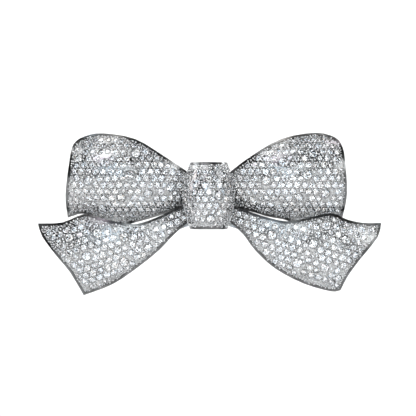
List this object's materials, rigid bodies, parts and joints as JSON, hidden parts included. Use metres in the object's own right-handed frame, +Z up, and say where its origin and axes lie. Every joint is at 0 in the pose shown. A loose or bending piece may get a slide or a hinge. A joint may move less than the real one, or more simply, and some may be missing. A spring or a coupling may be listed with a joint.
{
  "type": "brooch",
  "caption": "Bow brooch paved with small brilliants, with a hinged pin and a turning safety sleeve in its catch.",
  "frame": {"origin": "on the pin's axis, behind the middle of the knot, where cloth holds the brooch", "axes": "+X to the viewer's right, +Y out of the back, +Z up as worn; the paved front faces -Y"},
  "size_m": [0.0601, 0.0137, 0.0283],
  "materials": {
    "plate_metal": "satin",
    "brilliants": "polished",
    "rim_metal": "polished",
    "frame_metal": "satin",
    "fitting_metal": "polished",
    "pin_metal": "polished",
    "roller_metal": "polished"
  },
  "bodies": {
    "bow": {"left_loop_plate": "plate_metal", "right_loop_plate": "plate_metal", "left_tail_plate": "plate_metal", "right_tail_plate": "plate_metal", "knot_shell": "plate_metal", "left_loop_stones": "brilliants", "right_loop_stones": "brilliants", "left_tail_stones": "brilliants", "right_tail_stones": "brilliants", "knot_stones": "brilliants", "left_loop_rim": "rim_metal", "right_loop_rim": "rim_metal", "left_tail_rim": "rim_metal", "right_tail_rim": "rim_metal", "knot_top_cap": "rim_metal", "knot_bottom_cap": "rim_metal", "knot_back_plate": "frame_metal", "knot_upper_post": "frame_metal", "knot_lower_post": "frame_metal", "bridge_bar": "frame_metal", "left_loop_outer_post": "frame_metal", "left_loop_inner_post": "frame_metal", "right_loop_outer_post": "frame_metal", "right_loop_inner_post": "frame_metal", "left_tail_strut": "frame_metal", "right_tail_strut": "frame_metal", "left_tail_post": "frame_metal", "right_tail_post": "frame_metal", "hinge_bracket": "fitting_metal", "hinge_rivet": "fitting_metal", "catch_base": "fitting_metal", "catch_housing": "fitting_metal"},
    "pin": {"pin_knuckle": "pin_metal", "pin_stem": "pin_metal"},
    "roller": {"catch_roller": "roller_metal", "roller_tab": "roller_metal"}
  },
  "joints": [
    {"name": "pin_hinge", "type": "hinge", "parent": "bow", "child": "pin", "pos_m": [-0.0175, 0, 0], "axis": [0, 0, 1], "range_deg": [0, 75]},
    {"name": "roller_turn", "type": "hinge", "parent": "bow", "child": "roller", "pos_m": [0.0165, 0, 0], "axis": [1, 0, 0], "range_deg": [0, 120]}
  ]
}
